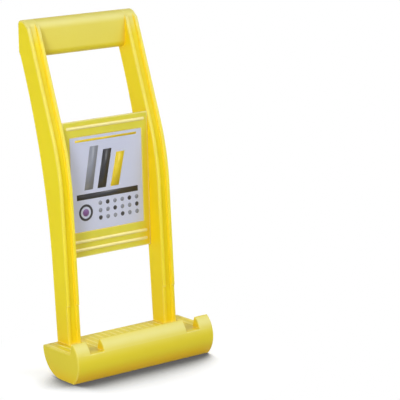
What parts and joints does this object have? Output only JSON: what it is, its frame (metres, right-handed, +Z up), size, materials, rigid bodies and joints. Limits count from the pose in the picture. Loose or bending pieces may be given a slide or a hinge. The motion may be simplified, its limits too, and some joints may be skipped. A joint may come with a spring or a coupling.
{
  "type": "panel carrier",
  "caption": "Hand carrier for sheet panels: round-backed shoe with a lipped, ribbed ledge, bent ridged side rails, a flat label plate and a grip bar on top.",
  "frame": {"origin": "middle of the flat that the shoe stands on", "axes": "+X across the carrier along the shoe, +Y from the panel side to the back, +Z up to the handle"},
  "size_m": [0.179, 0.1209, 0.368],
  "materials": {
    "yellow_plastic": "satin moulded yellow plastic",
    "label_film": "printed film",
    "screw_steel": "zinc plated"
  },
  "bodies": {
    "root": {"shoe": "yellow_plastic", "shoe_cover": "yellow_plastic", "left_rail": "yellow_plastic", "right_rail": "yellow_plastic", "handle_grip": "yellow_plastic", "handle_cover": "yellow_plastic", "label_plate": "yellow_plastic", "label": "label_film", "rail_screws": "screw_steel", "cover_screws": "screw_steel", "handle_screws": "screw_steel"}
  },
  "joints": []
}
